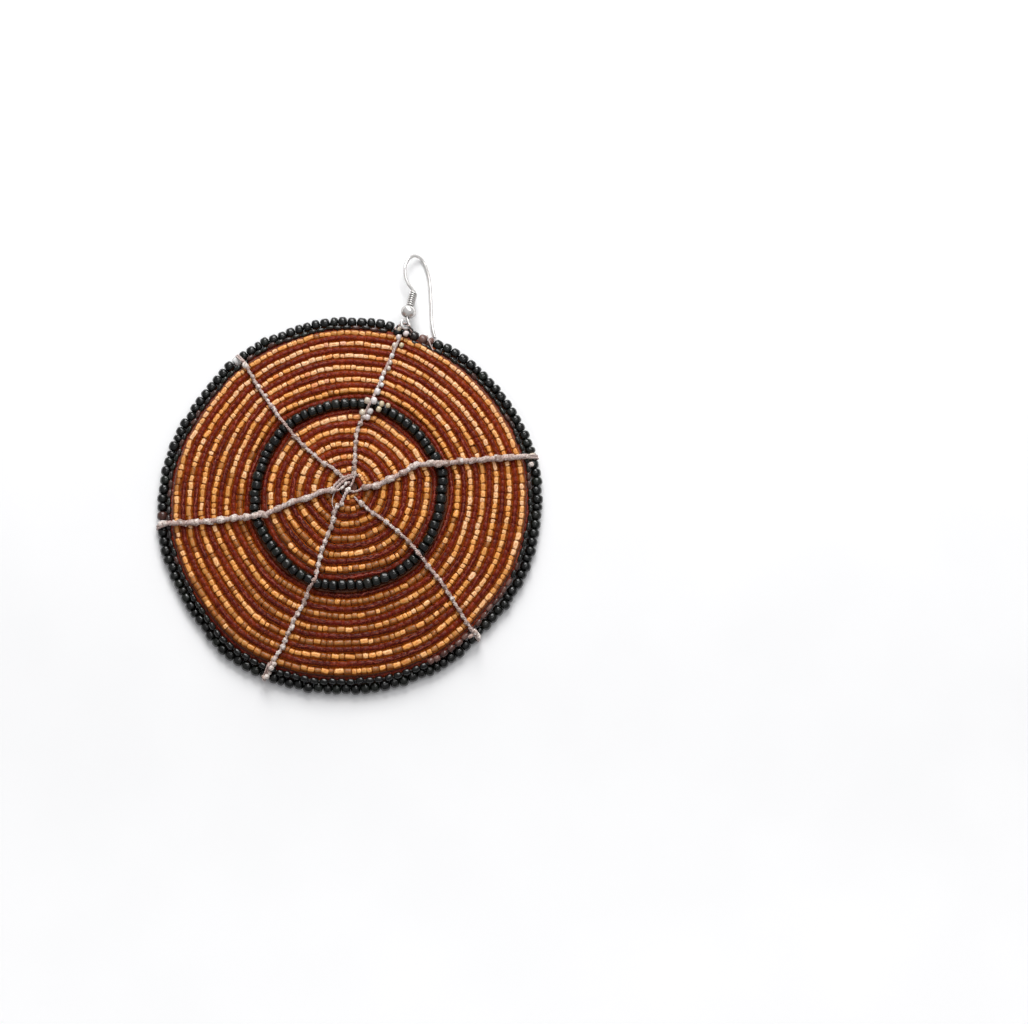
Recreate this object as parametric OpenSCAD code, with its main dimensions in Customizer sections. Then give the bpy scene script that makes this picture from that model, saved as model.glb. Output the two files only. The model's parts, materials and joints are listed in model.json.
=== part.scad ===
// Beaded disc earring, lying face up: closed strings of seed beads, stitched into a
// shallow dome by six threads, edged by two strings of larger beads, with an ear hook.
// +Z is up from the surface it lies on, +Y points along the earring towards its hook.

/* [Disc] */
// Radius of the lower rim string, from the disc's centre to the middle of its beads
rim_r = 36.05; // [36:0.05:36.5]
// How far the middle of the strings lies from the disc's centre, towards the hook
hub_offset = 2.3; // [0:0.1:2.3]
// How much the dome rises from its outer gold string to the middle
dome_rise = 2.4; // [1:0.1:3.5]
// Height of the outer gold string's middle above the surface
edge_z = 2.5; // [2.4:0.05:2.6]

/* [Small beads] */
// Diameter of a small bead
small_d = 1.1; // [0.9:0.02:1.1]
// Strings inside the black ring, brown first
inner_rows = 11; // [5:2:11]
// Radius of the innermost string
inner_r = 2.5; // [2.45:0.01:2.55]
// Spacing of the strings inside the black ring
inner_pitch = 1.386; // [1.3:0.002:1.39]
// Strings between the black ring and the rim, without the last brown one
outer_rows = 12; // [6:2:12]
// Radius of the first string outside the black ring
outer_r = 19.5; // [19.45:0.01:19.55]
// Spacing of the strings outside the black ring
outer_pitch = 1.244; // [1.24:0.001:1.246]

/* [Black beads] */
// Diameter of a large black bead
large_d = 2.1; // [1.8:0.05:2.1]
// Diameter of a bead of the upper rim string
upper_d = 1.2; // [1.2:0.05:1.45]
// Radius of the black ring
black_r = 17.9; // [17.85:0.01:17.95]
// How far the black ring's middle stands above the dome
black_lift = 0.5; // [0.5:0.05:0.8]
// How far the brown strings on both sides of the black ring are pressed below the dome
beside_sink = 0.45; // [0.45:0.05:0.6]

/* [Threads] */
// Thickness of the two raised spokes, right and left
heavy_thread_d = 1.0; // [0.6:0.05:1]
// Thickness of the other four spokes
fine_thread_d = 0.76; // [0.5:0.02:0.9]
// Thickness of the loop that holds the hook
loop_thread_d = 0.5; // [0.3:0.05:0.5]

/* [Ear hook] */
// Diameter of the hook's wire
wire_d = 0.62; // [0.5:0.02:0.62]
// Diameter of the ball
ball_d = 3; // [2.6:0.1:3]
// Height of the ball along the wire, a little flattened
ball_h = 2.5; // [2.4:0.05:2.6]
// Outer diameter of the coil
coil_d = 1.6; // [1.4:0.02:1.8]
// Length of the coil
coil_h = 3.05; // [2.4:0.05:3.05]
// Turns in the coil
coil_turns = 7; // [5:1:7]
// Radius of the eye, to the middle of its wire
eye_r = 0.85; // [0.8:0.01:0.87]

/* [Hidden] */
gold_inside = (inner_rows - 1) / 2;
brown_inside = (inner_rows + 1) / 2;
gold_count = gold_inside + outer_rows / 2;
brown_count = brown_inside + outer_rows / 2 + 1;
spoke_count = 6;
function row_name(kind, i) = str(kind, "_row_", i < 10 ? "0" : "", i);
function spoke_name(i) = str("spoke_thread_", i);

gap = 0.07;
bead_sides = 8;
wire_sides = 8;
thread_sides = 6;

gold = [0.80, 0.47, 0.17];
brown = [0.34, 0.09, 0.04];
black = [0.07, 0.07, 0.06];
thread = [0.72, 0.66, 0.62];
silver = [0.78, 0.78, 0.80];

// Everything moves along Y by this, which puts the origin below the middle of the length.
middle = [0, -6.46, 0];

// The strings are rings whose centres drift from the hub to the disc's centre.
hub = [0, hub_offset, 0];
drift = hub_offset / rim_r;
dome_r = outer_r + outer_pitch * (outer_rows - 1);
hub_z = edge_z + dome_rise;
function dome_z(r) = hub_z - dome_rise * pow(r / dome_r, 2);

// A string is a circle with six soft corners near the spokes. The corners are stronger
// near the middle and nearly gone at the rim.
corner_angle = 13;
mean_dip = 0.09;
hub_share = 0.34;
ring_share = 0.25;
rim_share = 0.07;
function hex_dip(a) = let (m = (a - corner_angle + 720) % 60) 1 - cos(30) / cos(m - 30);
function hex_share(r) = r < black_r
    ? hub_share + (ring_share - hub_share) * r / black_r
    : ring_share + (rim_share - ring_share) * (r - black_r) / (rim_r - black_r);

// The hand-made disc isn't quite round: it swells or flattens at four places, most at the
// rim. Angle, width in degrees, and how far the rim moves out there.
BULGES = [[97, 11, 0.28], [143, 16, -0.68], [234, 14, 0.97], [317, 13, -0.9]];
function bulge(a) = [for (b = BULGES) b[2] * exp(-pow(((a + 720) % 360 - b[0]) / b[1], 2))]
    * [for (b = BULGES) 1];
function row_point(r, z, a) = hub + [0, -drift * r, z]
    + r * (1 + hex_share(r) * (mean_dip - hex_dip(a)) + bulge(a) * r / pow(rim_r, 2))
    * [cos(a), sin(a), 0];

// The number of stations along a string, a whole number for each of the six sides.
function stations(r) = r < 4.5 ? 12 : r < 8.5 ? 18 : r < 17 ? 24 : r < 34 ? 30 : 36;

// The skin of a tube from its rings of points, closed on itself or capped at both ends.
module skin(rings, closed) {
    n = len(rings);
    m = len(rings[0]);
    walls = [for (i = [0 : closed ? n - 1 : n - 2], j = [0 : m - 1], half = [0, 1])
        let (a = i * m + j, b = i * m + (j + 1) % m,
            c = ((i + 1) % n) * m + (j + 1) % m, d = ((i + 1) % n) * m + j)
        half == 0 ? [a, b, c] : [a, c, d]];
    caps = closed ? [] : [[for (j = [m - 1 : -1 : 0]) j], [for (j = [0 : m - 1]) (n - 1) * m + j]];
    polyhedron(points = [for (ring = rings) each ring], faces = concat(walls, caps));
}

function ring_round(p, out, up, r, m) =
    [for (j = [0 : m - 1]) p + r * (cos(360 * j / m) * out + sin(360 * j / m) * up)];

function row_ring(r, z, a, d) =
    ring_round(row_point(r, z, a), [cos(a), sin(a), 0], [0, 0, 1], d / 2, bead_sides);

// A closed string of beads, as a tube of their diameter.
module string_tube(r, z, d) {
    n = stations(r);
    skin([for (i = [0 : n - 1]) row_ring(r, z, corner_angle + 360 * i / n, d)], true);
}

// A string that stops on both sides of a gap round the angle at.
module open_string_tube(r, z, d, at, half_gap) {
    n = stations(r);
    skin([for (i = [0 : n]) row_ring(r, z, at + half_gap + (360 - 2 * half_gap) * i / n, d)],
        false);
}

function unit(v) = v / norm(v);
function heading(p, i) = unit(p[min(i + 1, len(p) - 1)] - p[max(i - 1, 0)]);

// A thread or wire along the points p, where side is a direction that it never follows.
module swept(p, d, m, side) {
    skin([for (i = [0 : len(p) - 1])
        let (t = heading(p, i), u = unit(cross(t, side)), v = cross(t, u))
        ring_round(p[i], v, u, d / 2, m)], false);
}

// Strings count outwards, brown and gold in turn, and start with brown on both sides of
// the black ring.
function inner_row_r(k) = inner_r + inner_pitch * k;
function outer_row_r(k) = outer_r + outer_pitch * k;
function gold_r(i) = i <= gold_inside ? inner_row_r(2 * i - 1)
    : outer_row_r(2 * (i - gold_inside) - 1);
function brown_r(i) = i <= brown_inside ? inner_row_r(2 * i - 2)
    : outer_row_r(2 * (i - brown_inside) - 2);
function brown_z(i) = dome_z(brown_r(i))
    - (i == brown_inside || i == brown_inside + 1 ? beside_sink : 0);

module gold_row(i) {
    color(gold) string_tube(gold_r(i), dome_z(gold_r(i)), small_d);
}

// The last brown string is tucked in under the rim.
last_r = 34.2;
last_z = 1.45;

module brown_row(i) {
    last = i == brown_count;
    color(brown) string_tube(last ? last_r : brown_r(i), last ? last_z : brown_z(i), small_d);
}

module black_row() {
    color(black) string_tube(black_r, dome_z(black_r) + black_lift, large_d);
}

module rim_row_lower() {
    color(black) string_tube(rim_r, large_d / 2, large_d);
}

// The upper rim string stops at both sides of the place where the hook is tied on.
upper_r = rim_r - 1.05;
upper_z = 2.44;
hook_angle = 73.4;
tie_half_gap = 3.2;

module rim_row_upper() {
    color(black) open_string_tube(upper_r, upper_z, upper_d, hook_angle, tie_half_gap);
}

// A spoke lies on the strings and climbs over the black ring and the rim.
ring_climb = 1.1;
ring_climb_w = 1.55;
rim_climb = 0.42;
rim_climb_w = 1.5;
function spoke_z(r, d) = dome_z(r) + small_d / 2 + gap + d / 2
    + ring_climb * exp(-pow((r - black_r) / ring_climb_w, 2))
    + rim_climb * exp(-pow((r - upper_r) / rim_climb_w, 2));

// Routes of the spokes, counter-clockwise from the right: radius of the string that is
// crossed, and the angle there.
ROUTES = [
    [[2, -2], [3.7, 3.7], [5.6, 7.2], [7.3, 13.8], [9.9, 17.5], [13.7, 22.5], [17.7, 18.3], [22.6, 17],
        [28.7, 15.4], [35, 14.4]],
    [[2, 66], [3.5, 73], [6, 79], [8.3, 82], [12, 82.7], [15.6, 79], [18.4, 76.8], [23.7, 75.3],
        [29.6, 74.2], [34, 73.5]],
    [[2, 118], [4, 125], [7.2, 134], [12.7, 134.5], [16.8, 132.9], [25.4, 129.8], [32.7, 127.4], [35, 127]],
    [[2, 187], [4.9, 186], [6.4, 190.5], [9.8, 191.8], [13, 193.6], [16, 195], [18, 194.6],
        [21.5, 191.8], [26.8, 189.9], [35, 187.2]],
    [[2, 233], [4.3, 239.3], [6.6, 243.6], [8.1, 246.2], [9.2, 245.6], [14, 247.6], [17.6, 250.2],
        [19.6, 248.2], [22.5, 248.3], [25.2, 246.8], [30.7, 246.8], [35, 245]],
    [[2, 305], [3.8, 310.3], [5.5, 313.2], [6.9, 316.5], [8.7, 319], [12.3, 320.5], [14.7, 320.5],
        [17.6, 318.8], [21.2, 317.6], [25.7, 316.3], [29.5, 314.7], [35, 313.2]]];
tied_spoke = 2;
spoke_stops = concat([1.95], [for (i = [1 : 8]) 1.95 + 1.7 * i], [for (i = [0 : 6]) 16.2 + 0.6 * i],
    [for (i = [1 : 8]) 19.8 + 1.65 * i], [for (i = [1 : 3]) 33 + 0.65 * i]);
tied_end = 34;

module spoke_thread(i) {
    d = i == 1 || i == 4 ? heavy_thread_d : fine_thread_d;
    path = [for (r = spoke_stops) if (i != tied_spoke || r < tied_end)
        row_point(r, spoke_z(r, d), lookup(r, ROUTES[i - 1]))];
    color(thread) swept(path, d, thread_sides, [0, 0, 1]);
}

// A flat button of wound thread inside the innermost string.
knot_r = 1.6;
knot_low = -0.6;
knot_high = 1.15;
knot_edge = 0.4;

module centre_knot() {
    color(thread) translate(hub + [0, 0, hub_z]) rotate_extrude($fn = 48)
        polygon([[0, knot_low], [knot_r - knot_edge, knot_low], [knot_r, knot_low + knot_edge],
            [knot_r, knot_high - knot_edge], [knot_r - knot_edge, knot_high], [0, knot_high]]);
}

// The hook lies in a plane that leans from its tail, which rests on the surface, up to
// its eye. Seen from above, the tail follows a straight line past the ball.
hook_slope = 0.53;
tail_x = 4.44;
tail_lean = 0.135;
floor_z = wire_d / 2;
function hook_z(x, y) = floor_z + hook_slope * max(tail_x - tail_lean * y - x, 0);

// The hook's axis runs from the eye through the ball and the coil.
axis_lean = 13;
axis_fall = atan(hook_slope * (tail_lean * cos(axis_lean) + sin(axis_lean)));
axis_dir = [sin(axis_lean) * cos(axis_fall), cos(axis_lean) * cos(axis_fall), -sin(axis_fall)];
eye_at = 36.6;
eye_neck = 1.3;
eye_to_ball = eye_neck + 1.42;
eye_flat = row_point(eye_at, 0, hook_angle);
ball_centre = [eye_flat[0] + eye_to_ball * axis_dir[0], eye_flat[1] + eye_to_ball * axis_dir[1],
    hook_z(0, 0)];
eye_centre = ball_centre - eye_to_ball * axis_dir;
bore_d = wire_d + 0.2;
coil_start = ball_h / 2 + 0.02;

// The eye's wire leaves the axis at its neck and runs nearly once round, in a plane that
// leans over to one side.
eye_lean = 30;
eye_side = let (s = [cos(eye_lean), 0, -sin(eye_lean)]) unit(s - (s * axis_dir) * axis_dir);
eye_first = asin(eye_r / eye_neck);
eye_last = -244;
eye_steps = 16;
function eye_point(a) = eye_centre + eye_r * (cos(a) * eye_side + sin(a) * axis_dir);

// The bend and the tail, seen from above: across and along from the ball's centre.
BEND = [[0.5, 4.95], [-0.12, 5.8], [-0.58, 6.9], [-0.78, 8.2], [-0.72, 9.3], [-0.45, 10.2],
    [0.1, 11.15], [1.12, 11.75], [2.2, 11.4], [2.95, 10.4], [3.5, 8.95], [3.87, 7.3], [4.1, 5.2],
    [4.25, 2.6], [4.35, 0], [4.6, -2.6], [5.05, -4.4]];
bend_steps = 3;

// A smooth curve through the points p, with steps short pieces between two of them.
function bend(a, b, c, d, t) = 0.5 * (2 * b + t * (c - a) + t * t * (2 * a - 5 * b + 4 * c - d)
    + t * t * t * (3 * b - a - 3 * c + d));
function smooth(p, steps) = let (n = len(p)) concat(
    [for (i = [0 : n - 2], s = [0 : steps - 1])
        bend(p[max(i - 1, 0)], p[i], p[i + 1], p[min(i + 2, n - 1)], s / steps)],
    [p[n - 1]]);

module ear_hook() {
    eye = [for (i = [0 : eye_steps]) eye_point(eye_last + (eye_first - eye_last) * i / eye_steps)];
    neck = eye_centre + eye_neck * axis_dir;
    stem = [for (s = [0, coil_start + coil_h, coil_start + coil_h + 0.15]) ball_centre + s * axis_dir];
    arch = [for (p = BEND) [ball_centre[0] + p[0], ball_centre[1] + p[1], hook_z(p[0], p[1])]];
    color(silver) swept(concat(eye, [neck], smooth(concat(stem, arch), bend_steps)), wire_d,
        wire_sides, [hook_slope, hook_slope * tail_lean, 1]);
}

// Moves a shape that stands along +Z onto the hook's axis, start away from the ball.
module on_axis(start) {
    translate(ball_centre + start * axis_dir) rotate([-axis_fall - 90, 0, -axis_lean]) children();
}

module hook_coil() {
    notch = 0.12;
    pitch = coil_h / coil_turns;
    turns = [for (i = [0 : coil_turns - 1]) each [[coil_d / 2 - notch, pitch * i],
        [coil_d / 2, pitch * (i + 0.3)], [coil_d / 2, pitch * (i + 0.7)]]];
    color(silver) on_axis(coil_start) rotate_extrude($fn = 40) polygon(concat([[bore_d / 2, 0]],
        turns, [[coil_d / 2 - notch, coil_h], [bore_d / 2, coil_h]]));
}

module hook_ball() {
    first = asin(bore_d / ball_d);
    steps = 20;
    side = [for (i = [0 : steps]) let (a = first + (180 - 2 * first) * i / steps)
        [ball_d / 2 * sin(a), -ball_h / 2 * cos(a)]];
    color(silver) on_axis(0) rotate_extrude($fn = 64) polygon(side);
}

// A thread from one end of the upper rim string to the other, out through the eye. One leg
// passes under the eye's wire and the other over it.
loop_reach = eye_at - eye_r + floor_z + 0.3 + loop_thread_d / 2 - upper_r;
loop_rise = 0.8;
loop_twist = 0.45;
loop_steps = 10;

module hanger_loop() {
    foot = tie_half_gap - 0.55;
    path = [for (i = [0 : loop_steps]) let (t = 180 * i / loop_steps)
        row_point(upper_r + loop_reach * sin(t),
            upper_z + loop_rise * sin(t) - loop_twist * sin(2 * t), hook_angle + foot * cos(t))];
    color(thread) swept(path, loop_thread_d, thread_sides, [0, 0, 1]);
}

for (i = [1 : gold_count])
    translate(middle) gold_row(i);
for (i = [1 : brown_count])
    translate(middle) brown_row(i);
translate(middle) black_row();
translate(middle) rim_row_lower();
translate(middle) rim_row_upper();
for (i = [1 : spoke_count])
    translate(middle) spoke_thread(i);
translate(middle) centre_knot();
translate(middle) hanger_loop();
translate(middle) ear_hook();
translate(middle) hook_coil();
translate(middle) hook_ball();
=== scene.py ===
"""Looks of a beaded disc earring that lies face up: glass seed beads strung in rings, thread
spokes, a black rim and an ear hook of bright wire."""

import json
import math
import random
from collections import namedtuple

import bmesh
import bpy
import numpy as np
from mathutils import Matrix, Vector

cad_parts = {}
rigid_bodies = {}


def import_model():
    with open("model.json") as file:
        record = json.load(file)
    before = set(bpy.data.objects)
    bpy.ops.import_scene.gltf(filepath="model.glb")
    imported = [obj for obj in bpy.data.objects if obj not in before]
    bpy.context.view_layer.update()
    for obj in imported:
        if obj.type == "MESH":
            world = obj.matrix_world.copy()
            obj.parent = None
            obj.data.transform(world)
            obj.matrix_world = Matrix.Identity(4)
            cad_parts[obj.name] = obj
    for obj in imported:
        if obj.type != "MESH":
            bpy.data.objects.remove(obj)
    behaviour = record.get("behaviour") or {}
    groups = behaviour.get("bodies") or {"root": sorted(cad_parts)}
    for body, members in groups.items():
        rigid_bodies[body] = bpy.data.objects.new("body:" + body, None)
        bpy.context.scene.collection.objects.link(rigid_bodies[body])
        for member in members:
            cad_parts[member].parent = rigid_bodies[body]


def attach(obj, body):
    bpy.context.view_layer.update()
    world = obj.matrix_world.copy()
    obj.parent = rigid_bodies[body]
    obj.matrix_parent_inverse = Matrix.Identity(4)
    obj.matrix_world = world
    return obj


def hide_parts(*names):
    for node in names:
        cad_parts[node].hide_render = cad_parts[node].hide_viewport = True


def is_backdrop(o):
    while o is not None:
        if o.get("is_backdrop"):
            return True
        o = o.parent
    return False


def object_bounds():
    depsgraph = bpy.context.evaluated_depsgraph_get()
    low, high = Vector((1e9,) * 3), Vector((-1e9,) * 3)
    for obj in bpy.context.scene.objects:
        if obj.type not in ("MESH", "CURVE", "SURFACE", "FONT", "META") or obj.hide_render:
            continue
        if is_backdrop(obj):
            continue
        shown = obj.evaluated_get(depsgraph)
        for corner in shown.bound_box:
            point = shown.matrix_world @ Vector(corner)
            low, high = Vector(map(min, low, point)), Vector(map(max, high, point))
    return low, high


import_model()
cad_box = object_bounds()

# Sizes are in millimetres and angles in degrees, as in the part's source. A mesh gets its
# metres when it is made.
MM = 0.001
MIDDLE_Y = -6.46
RIM_R = 36.05
HUB_OFFSET = 2.3
DOME_RISE = 2.4
EDGE_Z = 2.5
SMALL_D = 1.1
INNER_ROWS = 11
INNER_R = 2.5
INNER_PITCH = 1.386
OUTER_ROWS = 12
OUTER_R = 19.5
OUTER_PITCH = 1.244
LARGE_D = 2.1
UPPER_D = 1.2
BLACK_R = 17.9
BLACK_LIFT = 0.5
BESIDE_SINK = 0.45
LAST_R = 34.2
LAST_Z = 1.45
UPPER_R = RIM_R - 1.05
UPPER_Z = 2.44
HOOK_ANGLE = 73.4
TIE_HALF_GAP = 3.2
DRIFT = HUB_OFFSET / RIM_R
DOME_R = OUTER_R + OUTER_PITCH * (OUTER_ROWS - 1)
HUB_Z = EDGE_Z + DOME_RISE
HUB = np.array([0, HUB_OFFSET + MIDDLE_Y, 0])
UP = np.array([0.0, 0.0, 1.0])

# A string is a circle with six soft corners near the spokes.
CORNER_ANGLE = 13
MEAN_DIP = 0.09
# The hand-made disc isn't quite round: the angle and the width in degrees of each swelling
# or flat place, and how far the rim moves out there.
BULGES = [(97, 11, 0.28), (143, 16, -0.68), (234, 14, 0.97), (317, 13, -0.9)]


def cos(a):
    return np.cos(np.radians(a))


def sin(a):
    return np.sin(np.radians(a))


def unit(v):
    return v / np.linalg.norm(v, axis=-1, keepdims=True)


def hump(x, middle, width):
    """1 at the middle, falling off on both sides."""
    return np.exp(-(((x - middle) / width) ** 2))


def dome_z(r):
    return HUB_Z - DOME_RISE * (r / DOME_R) ** 2


def hex_dip(a):
    return 1 - cos(30) / cos((a - CORNER_ANGLE) % 60 - 30)


def hex_share(r):
    inside = 0.34 - 0.09 * r / BLACK_R
    outside = 0.25 - 0.18 * (r - BLACK_R) / (RIM_R - BLACK_R)
    return np.where(r < BLACK_R, inside, outside)


def bulge(a):
    return sum(rise * hump(a % 360, angle, width) for angle, width, rise in BULGES)


def row_point(r, z, a):
    """The point of the string of radius r at the angle a, at the height z."""
    r, z, a = np.broadcast_arrays(*(np.asarray(v, float) for v in (r, z, a)))
    reach = r * (1 + hex_share(r) * (MEAN_DIP - hex_dip(a)) + bulge(a) * r / RIM_R**2)
    return HUB + np.stack([reach * cos(a), reach * sin(a) - DRIFT * r, z], axis=-1)


def spoke_z(r, d):
    """The height of a spoke's middle line: it rises over the black ring and over the rim."""
    over_ring = 1.1 * hump(r, BLACK_R, 1.55)
    over_rim = 0.42 * hump(r, UPPER_R, 1.5)
    return dome_z(r) + SMALL_D / 2 + 0.07 + d / 2 + over_ring + over_rim


def linear(rgb):
    """Scene-linear RGBA from an sRGB colour given as 0 to 255."""
    c = np.array(rgb) / 255
    low = c / 12.92
    high = ((c + 0.055) / 1.055) ** 2.4
    return (*np.where(c < 0.04045, low, high), 1.0)


# Helpers for shader nodes


def put(tree, value, socket):
    """Sets a socket, or links it where the value is another node's output."""
    if isinstance(value, bpy.types.NodeSocket):
        tree.links.new(value, socket)
    else:
        socket.default_value = value


def feed(tree, sockets, **values):
    """Puts values into sockets, by their names."""
    for name, value in values.items():
        put(tree, value, sockets[name.replace("_", " ")])


def add_node(tree, kind, **values):
    node = tree.nodes.new(kind)
    feed(tree, node.inputs, **values)
    return node


def attribute(tree, name):
    node = tree.nodes.new("ShaderNodeAttribute")
    node.attribute_name = name
    return node.outputs["Fac"]


def math_node(tree, operation, *values):
    node = tree.nodes.new("ShaderNodeMath")
    node.operation = operation
    for socket, value in zip(node.inputs, values):
        put(tree, value, socket)
    return node.outputs[0]


def fade(tree, value, start, end):
    """1 at start and before it, 0 at end and beyond, smooth between."""
    node = add_node(tree, "ShaderNodeMapRange", Value=value, From_Min=start, From_Max=end)
    feed(tree, node.inputs, To_Min=1.0, To_Max=0.0)
    node.interpolation_type = "SMOOTHSTEP"
    return node.outputs["Result"]


def rise(tree, value, start, end):
    """0 at start and before it, 1 at end and beyond, smooth between."""
    return math_node(tree, "SUBTRACT", 1.0, fade(tree, value, start, end))


def mix_colour(tree, factor, first, second):
    node = tree.nodes.new("ShaderNodeMix")
    node.data_type = "RGBA"
    for number, value in ((0, factor), (6, first), (7, second)):
        put(tree, value, node.inputs[number])
    return node.outputs[2]


def tint(tree, colour, mask, share, rgb):
    """The colour, with a share of another one where the mask is high."""
    return mix_colour(tree, math_node(tree, "MULTIPLY", mask, share), colour, linear(rgb))


def ramp(tree, factor, stops):
    """A colour ramp through (place, sRGB colour) stops."""
    node = tree.nodes.new("ShaderNodeValToRGB")
    elements = node.color_ramp.elements
    while len(elements) < len(stops):
        elements.new(0.5)
    for element, (place, colour) in zip(elements, stops):
        element.position = place
        element.color = linear(colour)
    put(tree, factor, node.inputs[0])
    return node.outputs[0]


def object_noise(tree, scale):
    place = tree.nodes.new("ShaderNodeTexCoord").outputs["Object"]
    noise = add_node(tree, "ShaderNodeTexNoise", Vector=place, Scale=scale, Detail=2.0)
    return noise.outputs["Fac"]


def place_along(tree, kind, axis):
    """The place along X, Y or Z, in object or generated coordinates."""
    place = tree.nodes.new("ShaderNodeTexCoord").outputs[kind]
    return add_node(tree, "ShaderNodeSeparateXYZ", Vector=place).outputs[axis]


def group(name, inputs, outputs):
    """A new node group with float inputs (name, value) and float outputs, and their sockets."""
    tree = bpy.data.node_groups.new(name, "ShaderNodeTree")
    kind = "NodeSocketFloat"
    for label, value in inputs:
        socket = tree.interface.new_socket(label, in_out="INPUT", socket_type=kind)
        socket.default_value = value
    for label in outputs:
        tree.interface.new_socket(label, in_out="OUTPUT", socket_type=kind)
    return tree, tree.nodes.new("NodeGroupInput").outputs, tree.nodes.new("NodeGroupOutput").inputs


def place_group(tree, group_tree, **values):
    node = tree.nodes.new("ShaderNodeGroup")
    node.node_tree = group_tree
    feed(tree, node.inputs, **values)
    return node.outputs


def build_core_group():
    """Masks of a tubular glass bead: its bright core, the spot in its middle, and its ends, where a
    material can paint the shade that falls between beads.
    """
    inputs = [("Core Start", 0.55), ("Core End", 0.85), ("Length Share", 0.9), ("End Start", 0.72)]
    tree, given, out = group("bead_core", inputs, ["Core", "Spot", "Ends"])
    across = math_node(tree, "ABSOLUTE", attribute(tree, "across"))
    along = math_node(tree, "ABSOLUTE", attribute(tree, "along"))
    long_share = math_node(tree, "MULTIPLY", along, given["Length Share"])
    wide = math_node(tree, "POWER", across, 4.0)
    long = math_node(tree, "POWER", long_share, 4.0)
    reach = math_node(tree, "POWER", math_node(tree, "ADD", wide, long), 0.25)
    noise = math_node(tree, "SUBTRACT", object_noise(tree, 1500), 0.5)
    reach = math_node(tree, "ADD", reach, math_node(tree, "MULTIPLY", noise, 0.8))
    core = fade(tree, reach, given["Core Start"], given["Core End"])
    spot = fade(tree, reach, 0.12, 0.34)
    feed(tree, out, Core=core, Spot=spot, Ends=rise(tree, along, given["End Start"], 1.0))
    return tree


def build_tone_group():
    """Slow changes of tone over the whole disc, and a fine mottle inside each bead."""
    inputs = [("Patch Scale", 90.0), ("Mottle Scale", 2600.0)]
    tree, given, out = group("disc_tone", inputs, ["Patch", "Mottle"])
    patch = object_noise(tree, given["Patch Scale"])
    feed(tree, out, Patch=patch, Mottle=object_noise(tree, given["Mottle Scale"]))
    return tree


CORE_GROUP = build_core_group()
TONE_GROUP = build_tone_group()


def patch_and_mottle(tree, **scales):
    """The two outputs of the group of tones, placed with these scales."""
    tones = place_group(tree, TONE_GROUP, **scales)
    return tones["Patch"], tones["Mottle"]


def ramp_by_tone(tree, stops):
    """The bead's own colour, by the tone that its mesh gives it."""
    return ramp(tree, attribute(tree, "tone"), stops)


def new_material(name, look, *colours, **values):
    """A material of one Principled shader: values set its sockets, look adds nodes that feed it."""
    material = bpy.data.materials.new(name)
    material.use_nodes = True
    tree = material.node_tree
    values.update(look(tree, *colours))
    feed(tree, tree.nodes["Principled BSDF"].inputs, **values)
    return material


def bump(tree, height, strength, distance):
    values = {"Height": height, "Strength": strength, "Distance": distance}
    return add_node(tree, "ShaderNodeBump", **values).outputs[0]


def painted_amber_glow(tree, darkest):
    """Painted light: the glow of light inside the glass, put into the base colour, brighter towards
    a bead's sides where less light falls on them.
    """
    across = math_node(tree, "ABSOLUTE", attribute(tree, "across"))
    return ramp(tree, across, [(0.5, darkest), (0.8, (148, 70, 8)), (1.0, (218, 116, 24))])


def gold_glass(tree):
    """Amber glass over a bright lining that shows as a mottled core, with a painted amber glow of
    light at its sides and painted shade on its ends where the beads meet.
    """
    linings = [
        (0.0, (122, 80, 40)), (0.12, (196, 140, 72)), (0.3, (248, 176, 94)), (0.5, (255, 200, 136)),
        (0.68, (255, 212, 166)), (0.84, (250, 182, 112)), (0.95, (238, 148, 78)),
        (1.0, (242, 182, 148))
    ]
    core = ramp_by_tone(tree, linings)
    _, mottle = patch_and_mottle(tree, Mottle_Scale=2400.0)
    masks = place_group(
        tree, CORE_GROUP, Core_Start=0.4, Core_End=0.76, Length_Share=0.64, End_Start=0.84
    )
    core = tint(tree, core, fade(tree, mottle, 0.36, 0.6), 0.4, (214, 126, 40))
    core = tint(tree, core, masks["Spot"], 0.55, (192, 104, 40))
    # Painted light: outside the core the sides take the amber glow of light through the glass.
    colour = mix_colour(tree, masks["Core"], painted_amber_glow(tree, (128, 60, 6)), core)
    # Painted shade: the bead's ends are darkened to amber where the beads meet.
    colour = tint(tree, colour, masks["Ends"], 0.85, (136, 60, 8))
    return {"Base_Color": colour}


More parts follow.
